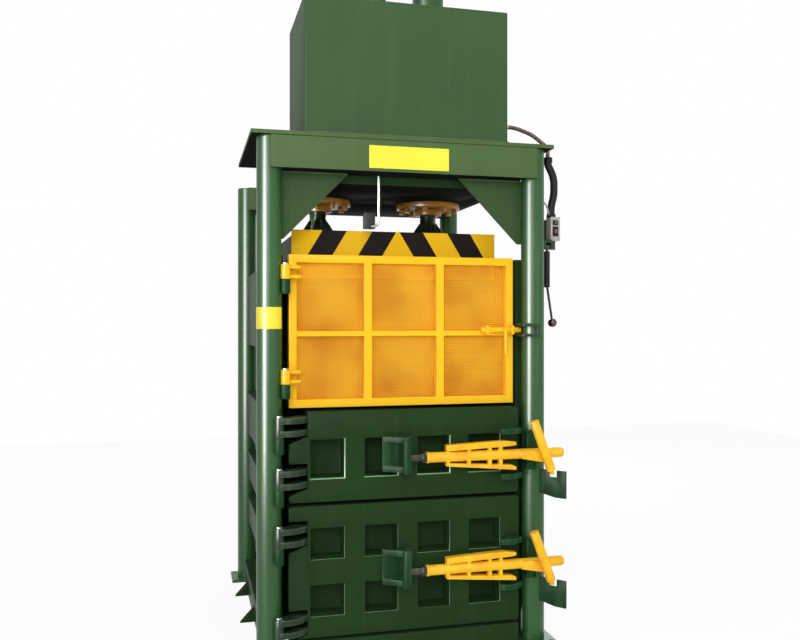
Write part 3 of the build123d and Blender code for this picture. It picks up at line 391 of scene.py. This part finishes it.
def stepFaces(piece, test, rim, shift):
    pickFaces(piece, test)
    bpy.ops.mesh.inset(thickness=rim)
    bpy.ops.transform.translate(value=shift)
    leaveEdit()


def useModifier(piece, kind, **settings):
    clearSelection()
    piece.select_set(True)
    bpy.context.view_layer.objects.active = piece
    modifier = piece.modifiers.new(kind.title(), kind)
    for key, value in settings.items():
        setattr(modifier, key, value)
    bpy.ops.object.modifier_apply(modifier=modifier.name)


def roundEdges(piece, width, segments=2, angle=30):
    useModifier(piece, "BEVEL", width=width, segments=segments, limit_method="ANGLE",
                angle_limit=math.radians(angle))


def joinPieces(name, pieces):
    clearSelection()
    for piece in pieces:
        piece.select_set(True)
    bpy.context.view_layer.objects.active = pieces[0]
    bpy.ops.object.join()
    joined = bpy.context.object
    joined.name = name
    return joined


smoothDegrees = 35


def finishPiece(piece, finish, body, replaced=()):
    clearSelection()
    piece.select_set(True)
    bpy.context.view_layer.objects.active = piece
    bpy.ops.object.transform_apply(location=True, rotation=True, scale=True)
    bpy.ops.object.shade_smooth_by_angle(angle=math.radians(smoothDegrees))
    piece.data.materials.clear()
    piece.data.materials.append(materials[finish])
    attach(piece, body)
    if replaced:
        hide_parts(*replaced)
    return piece


# Rounded edges of the folded, sawn and flame-cut parts, in metres: a copy with merged seams stands in for the node
softening = {"merge": 0.00001, "flatDegrees": 0.6, "cornerDegrees": 32}
edgeRounds = {
    "upper_door": 0.005, "lower_door": 0.005, "feed_door_frame": 0.0022, "front_beam": 0.004,
    "corner_gussets": 0.0015, "top_plate": 0.003, "head_housing": 0.0012, "upper_door_hinges": 0.004,
    "lower_door_hinges": 0.004, "upper_latch_bracket": 0.0025, "lower_latch_bracket": 0.0025,
    "upper_latch_arm": 0.0025, "lower_latch_arm": 0.0025, "upper_latch_lever": 0.004,
    "lower_latch_lever": 0.004, "latch_catches": 0.002, "bolt_keeper": 0.0025, "column_knuckles": 0.002,
    "feed_door_knuckles": 0.002, "bolt_guides": 0.002, "slide_bolt": 0.003, "cylinder_flanges": 0.0025,
    "flange_bolts": 0.0015, "gland_rings": 0.0025, "crosshead": 0.002, "rear_beam": 0.004,
    "left_side_wall": 0.003, "right_side_wall": 0.003, "rear_wall": 0.003, "base_rails": 0.003,
    "ram_platen": 0.003, "striped_board": 0.0012, "valve_body": 0.002, "limit_switch": 0.003,
    "ram_rods": 0.002,
}


def softenNode(name, width):
    mesh = nodes[name].data.copy()
    piece = bpy.data.objects.new(name + "_softened", mesh)
    bpy.context.collection.objects.link(piece)
    pickFaces(piece, lambda face: True)
    bpy.ops.mesh.remove_doubles(threshold=softening["merge"])
    bpy.ops.mesh.dissolve_limited(angle_limit=math.radians(softening["flatDegrees"]))
    leaveEdit()
    roundEdges(piece, width, angle=softening["cornerDegrees"])
    return finishPiece(piece, finishOf[name], bodyOf[name], (name,))


for name, width in edgeRounds.items():
    softenNode(name, width)
print("edges rounded")


# A second finish on some faces: a painted highlight on the right and lower window edges, painted shade on the
# undersides elsewhere
def paintFaces(piece, finish, test):
    piece.data.materials.append(materials[finish])
    last = len(piece.data.materials) - 1
    for face in piece.data.polygons:
        if test(face):
            face.material_index = last


litRimBand = {"sideGap": 0.093, "topGap": 0.03, "depth": 0.02, "tilt": 0.15}
paintedShadeTilt = 0.6


# Painted highlight on the door windows' edges that face left or up
def paintRimHighlights(door):
    low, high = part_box(door)
    left, top, back = low[0] + litRimBand["sideGap"], high[2] - litRimBand["topGap"], low[1] + litRimBand["depth"]
    tilt = litRimBand["tilt"]

    def onLitRim(face):
        turned = face.normal.y < -tilt and (face.normal.x < -tilt or face.normal.z > tilt)
        return turned and face.center.x > left and face.center.z < top and face.center.y < back

    paintFaces(bpy.data.objects[door + "_softened"], "paintedHighlightGreen", onLitRim)


for name in ("upper_door", "lower_door"):
    paintRimHighlights(name)
# Painted shade: the faces turned downwards get the near-black shadowGreen finish
for name in ("top_plate", "front_beam", "crosshead", "ram_platen", "base_rails"):
    paintFaces(bpy.data.objects[name + "_softened"], "shadowGreen", lambda f: f.normal.z < -paintedShadeTilt)
print("rims and undersides painted")


# Round columns with a softened top edge
columns = {"sides": 96, "rim": 0.006, "edge": 0.004}


def buildColumns():
    for name in ("front_left_column", "front_right_column", "rear_left_column", "rear_right_column"):
        low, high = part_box(name)
        place = [(a + b) / 2 for a, b in zip(low, high)]
        tube = startRound(name + "_tube", place, (high[0] - low[0]) / 2, high[2] - low[2], columns["sides"])
        pickFaces(tube, lambda face: face.normal.z > 0.9)
        bpy.ops.mesh.inset(thickness=columns["rim"])
        leaveEdit()
        roundEdges(tube, columns["edge"], 3)
        finishPiece(tube, "tubeGreen", "frame", (name,))


buildColumns()
print("columns built")

# Perforated panels of the feed door
perforation = {"pitch": 0.0115, "rim": 0.0034, "thickness": 0.0016}


def buildMesh():
    low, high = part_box("feed_door_mesh")
    width, height = high[0] - low[0], high[2] - low[2]
    clearSelection()
    bpy.ops.mesh.primitive_grid_add(
        x_subdivisions=round(width / perforation["pitch"]),
        y_subdivisions=round(height / perforation["pitch"]),
        size=1.0,
        location=((low[0] + high[0]) / 2, (low[1] + high[1]) / 2, (low[2] + high[2]) / 2),
        rotation=alongY,
    )
    sheet = bpy.context.object
    sheet.name = "perforated_panels"
    sheet.scale = (width, height, 1)
    bpy.ops.object.transform_apply(location=True, rotation=True, scale=True)
    pickFaces(sheet, lambda face: True)
    bpy.ops.mesh.inset(thickness=perforation["rim"], use_individual=True)
    bpy.ops.mesh.delete(type="FACE")
    leaveEdit()
    useModifier(sheet, "SOLIDIFY", thickness=perforation["thickness"], offset=0.0)
    finishPiece(sheet, "meshYellowPaintedShade", "feed_door", ("feed_door_mesh",))


buildMesh()
print("perforated panels built")


# Weld beads, laid scale by scale along each seam, in metres
scale = {"segments": 10, "rings": 6, "step": 0.95}
welds = {
    "frame_welds": {
        "body": "frame", "finish": "beamGreenPaintedLight", "radius": 0.0042,
        "seams": [((side * 0.65, -0.7485, 2.286), (side * 0.65, -0.7485, 2.424)) for side in (-1, 1)]
        + [((side * 0.6045, -0.6605, 1.972), (side * 0.6045, -0.6605, 2.276)) for side in (-1, 1)]
        + [((side * 0.28, -0.661, 2.2795), (side * 0.6, -0.661, 2.2795)) for side in (-1, 1)],
    },
    "head_welds": {
        "body": "frame", "finish": "beamGreenPaintedLight", "radius": 0.0038,
        "seams": [((-0.49, -0.755, 2.4515), (0.49, -0.755, 2.4515))]
        + [((side * 0.4975, -0.75, 2.4515), (side * 0.4975, -0.2, 2.4515)) for side in (-1, 1)],
    },
}


def addScales(name, start, end, radius):
    run = Vector(end) - Vector(start)
    step = radius * scale["step"]
    clearSelection()
    bpy.ops.mesh.primitive_uv_sphere_add(
        segments=scale["segments"], ring_count=scale["rings"], radius=radius, location=start)
    bead = bpy.context.object
    bead.name = name
    bpy.ops.object.transform_apply(location=True, rotation=True, scale=True)
    useModifier(bead, "ARRAY", count=max(2, round(run.length / step)), use_relative_offset=False,
                use_constant_offset=True, constant_offset_displace=run.normalized() * step)
    return bead


def buildWelds():
    for name, weld in welds.items():
        beads = [addScales(name, start, end, weld["radius"]) for start, end in weld["seams"]]
        finishPiece(joinPieces(name, beads), weld["finish"], weld["body"])


buildWelds()
print("welds laid")

# Push-button station: black windows, cover screws and a bottom lip
station = {
    "proud": 0.0014, "sunk": 0.002, "window": (0.030, 0.026), "panel": (0.032, 0.050), "rim": 0.0025, "dish": 0.0008,
    "edge": 0.0008, "screwRadius": 0.0028, "screwLength": 0.003, "screwIn": 0.0005, "screwSides": 16,
    "screwFromSide": 0.006, "screwFromEnd": 0.008,
    "lipFromSide": 0.004, "lipProud": 0.004, "lipBack": 0.006, "lipDrop": 0.006, "lipOverlap": 0.001, "lipEdge": 0.0022,
}


def buildStation():
    low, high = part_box("control_box")
    middle = (low[0] + high[0]) / 2
    face = low[1]
    pieces = []
    for node, (width, height) in (("start_button", station["window"]), ("stop_button", station["panel"])):
        buttonLow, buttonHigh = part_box(node)
        centre = (buttonLow[2] + buttonHigh[2]) / 2
        plate = startCube(node + "_plate",
                          (middle - width / 2, face - station["proud"], centre - height / 2),
                          (middle + width / 2, face + station["sunk"], centre + height / 2))
        stepFaces(plate, lambda f: f.normal.y < -0.9, station["rim"], (0, station["dish"], 0))
        roundEdges(plate, station["edge"])
        pieces.append(plate)
    finishPiece(joinPieces("station_windows", pieces), "blackPlastic", "frame")
    screws = []
    for x in (low[0] + station["screwFromSide"], high[0] - station["screwFromSide"]):
        for z in (low[2] + station["screwFromEnd"], high[2] - station["screwFromEnd"]):
            screw = startRound("screw", (x, face - station["screwIn"], z), station["screwRadius"],
                               station["screwLength"], station["screwSides"], alongY)
            roundEdges(screw, station["edge"])
            screws.append(screw)
    finishPiece(joinPieces("station_screws", screws), "steel", "frame")
    lip = startCube("station_lip",
                    (low[0] + station["lipFromSide"], face - station["lipProud"], low[2] - station["lipDrop"]),
                    (high[0] - station["lipFromSide"], high[1] - station["lipBack"], low[2] + station["lipOverlap"]))
    roundEdges(lip, station["lipEdge"], 3)
    finishPiece(lip, "greyPlastic", "frame")


buildStation()
print("push-button station built")

# Swinging latches: pivot sleeve, lock nut and tube collar, at the rod's height
latchY = -0.790
latchParts = {
    "sleeve": {"x": -0.019, "radius": 0.0215, "length": 0.15, "sides": 48, "turn": (0, 0, 0),
               "edge": 0.006, "segments": 4, "finish": "latchGreen", "slot": "green_paint"},
    "nut": {"x": 0.058, "radius": 0.0255, "length": 0.018, "sides": 6, "turn": alongX,
            "edge": 0.002, "segments": 2, "finish": "darkSteel", "slot": "steel"},
    "collar": {"x": 0.079, "radius": 0.0268, "length": 0.014, "sides": 48, "turn": alongX,
               "edge": 0.004, "segments": 3, "finish": "latchYellow", "slot": "yellow_paint"},
}


def buildLatchParts():
    for level in ("upper", "lower"):
        low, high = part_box(level + "_latch_rod")
        middle = (low[2] + high[2]) / 2
        body = level + "_latch"
        for kind, part in latchParts.items():
            piece = startRound(body + "_" + kind, (part["x"], latchY, middle), part["radius"], part["length"],
                               part["sides"], part["turn"])
            roundEdges(piece, part["edge"], part["segments"])
            finishPiece(piece, part["finish"], body)


buildLatchParts()
print("latch details built")

# Hose and conduit ends: hexagon nut, crimped ferrule and glands
fittings = {
    "hoseY": -0.63, "hoseDrop": 0.010, "conduitY": -0.61,
    "nut": {"out": 0.008, "radius": 0.0185, "length": 0.014, "sides": 6, "edge": 0.0015},
    "ferrule": {"out": 0.030, "radius": 0.014, "length": 0.034, "sides": 32, "edge": 0.001,
                "rim": 0.006, "crimp": 0.88},
    "gland": {"radius": 0.0235, "sides": 40, "edge": 0.0012, "rim": 0.004, "rise": 0.004},
    "upperGland": {"x": 0.768, "drop": 0.006, "height": 0.024},
    "lowerGland": {"x": 0.786, "lift": 0.007, "height": 0.014},
}


def buildHoseEnd():
    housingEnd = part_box("head_housing")[1][0]
    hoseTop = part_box("hydraulic_hose")[1][2] - fittings["hoseDrop"]
    ends = []
    for kind in ("nut", "ferrule"):
        part = fittings[kind]
        end = startRound(kind, (housingEnd + part["out"], fittings["hoseY"], hoseTop), part["radius"],
                         part["length"], part["sides"], alongX)
        if "crimp" in part:
            pickFaces(end, lambda f: abs(f.normal.x) < 0.1)
            bpy.ops.mesh.inset(thickness=part["rim"])
            bpy.ops.transform.resize(value=(1, part["crimp"], part["crimp"]))
            leaveEdit()
        roundEdges(end, part["edge"])
        ends.append(end)
    finishPiece(joinPieces("hose_fitting", ends), "rivetGrey", "frame")


def buildGlands():
    part, upper, lower = fittings["gland"], fittings["upperGland"], fittings["lowerGland"]
    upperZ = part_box("control_conduit")[1][2] - upper["drop"]
    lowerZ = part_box("control_box")[1][2] + lower["lift"]
    glands = []
    for place, z in ((upper, upperZ), (lower, lowerZ)):
        gland = startRound("gland", (place["x"], fittings["conduitY"], z), part["radius"],
                           place["height"], part["sides"])
        stepFaces(gland, lambda f: f.normal.z > 0.9, part["rim"], (0, 0, part["rise"]))
        roundEdges(gland, part["edge"])
        glands.append(gland)
    finishPiece(joinPieces("conduit_glands", glands), "blackPlastic", "frame")


buildHoseEnd()
buildGlands()
print("hose and conduit ends built")

# Short wire from the column to the push-button station
wire = {
    "radius": 0.0042, "resolution": 3,
    "points": [(0.7035, -0.668, 2.176), (0.722, -0.668, 2.186), (0.742, -0.650, 2.178),
               (0.762, -0.630, 2.146), (0.776, -0.616, 2.108)],
}


def buildWire():
    clearSelection()
    bpy.ops.curve.primitive_nurbs_path_add()
    path = bpy.context.object
    path.name = "earth_wire"
    spline = path.data.splines[0]
    for point, place in zip(spline.points, wire["points"]):
        point.co = (*place, 1.0)
    path.data.bevel_depth = wire["radius"]
    path.data.bevel_resolution = wire["resolution"]
    path.data.use_fill_caps = True
    bpy.ops.object.convert(target="MESH")
    finishPiece(bpy.context.object, "greyPlastic", "frame")


buildWire()
print("wire built")

# Caps, ports and base rings of the cylinders
caps = {
    "x": 0.315, "y": 0.02, "top": 3.597, "portDrop": 0.12,
    "cap": {"radius": 0.096, "length": 0.042, "proud": 0.003, "rim": 0.018, "dish": 0.006, "edge": 0.004},
    "port": {"out": 0.1, "radius": 0.019, "length": 0.044, "sides": 32, "edge": 0.003},
    "elbow": {"out": 0.126, "radius": 0.016, "length": 0.016, "sides": 6, "edge": 0.0015},
    "ring": {"z": 2.4585, "radius": 0.0975, "length": 0.014, "edge": 0.004},
    "sides": 72,
}


def buildCaps():
    for side, name in ((-1, "left"), (1, "right")):
        x, y = side * caps["x"], caps["y"]
        part = caps["cap"]
        capZ = caps["top"] - part["length"] / 2 + part["proud"]
        cap = startRound("cap", (x, y, capZ), part["radius"], part["length"], caps["sides"])
        stepFaces(cap, lambda f: f.normal.z > 0.9, part["rim"], (0, 0, -part["dish"]))
        roundEdges(cap, part["edge"], 3)
        pieces = [cap]
        for kind in ("port", "elbow"):
            part = caps[kind]
            end = startRound(kind, (x, y - part["out"], caps["top"] - caps["portDrop"]), part["radius"],
                             part["length"], part["sides"], alongY)
            roundEdges(end, part["edge"])
            pieces.append(end)
        part = caps["ring"]
        ring = startRound("ring", (x, y, part["z"]), part["radius"], part["length"], caps["sides"])
        roundEdges(ring, part["edge"], 3)
        pieces.append(ring)
        finishPiece(joinPieces(name + "_cylinder_trim", pieces), "beamGreenPaintedLight", "frame")


buildCaps()
print("cylinder trim built")

# Pressed louvres on the right side of the head housing
louvres = {
    "count": 9, "pitch": 0.034, "low": (0.4945, -0.60, 2.62), "high": (0.5055, -0.34, 2.642),
    "lip": (0.2, 0.97, 1), "lipCentre": (0.4945, -0.47, 2.642), "edge": 0.003, "edgeDegrees": 20,
}


def buildLouvres():
    louvre = startCube("housing_louvres", louvres["low"], louvres["high"])
    pickFaces(louvre, lambda f: f.normal.z > 0.9)
    bpy.ops.transform.resize(value=louvres["lip"], center_override=louvres["lipCentre"])
    leaveEdit()
    roundEdges(louvre, louvres["edge"], 3, louvres["edgeDegrees"])
    useModifier(louvre, "ARRAY", count=louvres["count"], use_relative_offset=False, use_constant_offset=True,
                constant_offset_displace=(0, 0, louvres["pitch"]))
    finishPiece(louvre, "panelGreen", "frame")


buildLouvres()
print("louvres built")

# Studio: pale floor, soft lamps and the camera at the photograph's place
studio = {
    "floorSize": 14.0, "floorColour": (0.86, 0.87, 0.87, 1), "floorRoughness": 0.9, "floorSeen": 0.93,
    "sky": (0.93, 0.96, 1.0, 1), "ambient": 0.46, "white": (1, 1, 1, 1),
}
lamps = {
    "key": {"place": (-2.0, -6.8, 3.6), "aim": (0, -0.4, 1.6), "size": (3.0, 3.0), "power": 190},
    "fill": {"place": (3.6, -6.0, 2.2), "aim": (0, -0.4, 1.4), "size": (2.5, 3.0), "power": 50},
    "strip": {"place": (-3.4, -3.35, 2.35), "aim": (-0.2, -0.69, 2.35), "size": (1.5, 4.6), "power": 1500,
              "glossOnly": True},
    "top": {"place": (0.0, -2.0, 6.4), "aim": (0, 0, 1), "size": (4.0, 4.0), "power": 80},
    "rear": {"place": (2.5, 5.5, 3.2), "aim": (0, 0, 1.6), "size": (3.0, 3.0), "power": 110},
}
cameraSet = {"place": (-1.025, -4.597, 1.588), "turnDegrees": -14.3, "sensorWidth": 36.0, "focalPixels": 845,
             "imageWidth": 800}


def addLamp(name, lamp):
    data = bpy.data.lights.new(name, "AREA")
    data.shape = "RECTANGLE"
    data.size, data.size_y = lamp["size"]
    data.energy = lamp["power"]
    obj = bpy.data.objects.new(name, data)
    obj.location = lamp["place"]
    direction = Vector(lamp["aim"]) - Vector(lamp["place"])
    obj.rotation_euler = direction.to_track_quat("-Z", "Y").to_euler()
    obj.visible_diffuse = not lamp.get("glossOnly", False)
    bpy.context.collection.objects.link(obj)


for name, lamp in lamps.items():
    addLamp(name, lamp)


# One where the camera, a reflection or glass looks at the backdrop, so that only diffuse light takes its real value
def seenDirectly(tree):
    path = addNode(tree, "ShaderNodeLightPath")
    seen = mathNode(tree, "ADD", path.outputs["Is Camera Ray"], path.outputs["Is Glossy Ray"])
    return mathNode(tree, "ADD", seen, path.outputs["Is Transmission Ray"], clamp=True)


def buildWorld():
    world = bpy.data.worlds.new("studio")
    bpy.context.scene.world = world
    world.use_nodes = True
    tree = world.node_tree
    tree.nodes.clear()
    output = addNode(tree, "ShaderNodeOutputWorld")
    ambient = addNode(tree, "ShaderNodeBackground", {"Color": studio["sky"], "Strength": studio["ambient"]})
    shown = addNode(tree, "ShaderNodeBackground", {"Color": studio["white"], "Strength": 1.0})
    mix = addNode(tree, "ShaderNodeMixShader")
    tree.links.new(seenDirectly(tree), mix.inputs[0])
    tree.links.new(ambient.outputs[0], mix.inputs[1])
    tree.links.new(shown.outputs[0], mix.inputs[2])
    tree.links.new(mix.outputs[0], output.inputs[0])


def buildFloor():
    clearSelection()
    bpy.ops.mesh.primitive_plane_add(size=studio["floorSize"], location=(0, 0, 0))
    floor = bpy.context.object
    floor.name = "studio_floor"
    material = bpy.data.materials.new("floorPale")
    material.use_nodes = True
    tree = material.node_tree
    shader = tree.nodes["Principled BSDF"]
    shader.inputs["Base Color"].default_value = studio["floorColour"]
    shader.inputs["Roughness"].default_value = studio["floorRoughness"]
    glow = addNode(tree, "ShaderNodeEmission", {"Color": studio["white"], "Strength": 1.0})
    mix = addNode(tree, "ShaderNodeMixShader")
    seen = mathNode(tree, "MULTIPLY", seenDirectly(tree), studio["floorSeen"])
    tree.links.new(seen, mix.inputs[0])
    tree.links.new(shader.outputs[0], mix.inputs[1])
    tree.links.new(glow.outputs[0], mix.inputs[2])
    tree.links.new(mix.outputs[0], tree.nodes["Material Output"].inputs[0])
    floor.data.materials.append(material)


def addCamera():
    data = bpy.data.cameras.new("photoCamera")
    data.sensor_width = cameraSet["sensorWidth"]
    data.lens = cameraSet["sensorWidth"] * cameraSet["focalPixels"] / cameraSet["imageWidth"]
    camera = bpy.data.objects.new("photoCamera", data)
    camera.location = cameraSet["place"]
    camera.rotation_euler = (math.radians(90), 0, math.radians(cameraSet["turnDegrees"]))
    bpy.context.collection.objects.link(camera)
    bpy.context.scene.camera = camera


buildWorld()
buildFloor()
addCamera()
bpy.context.scene.view_settings.view_transform = "Standard"
print("studio ready")
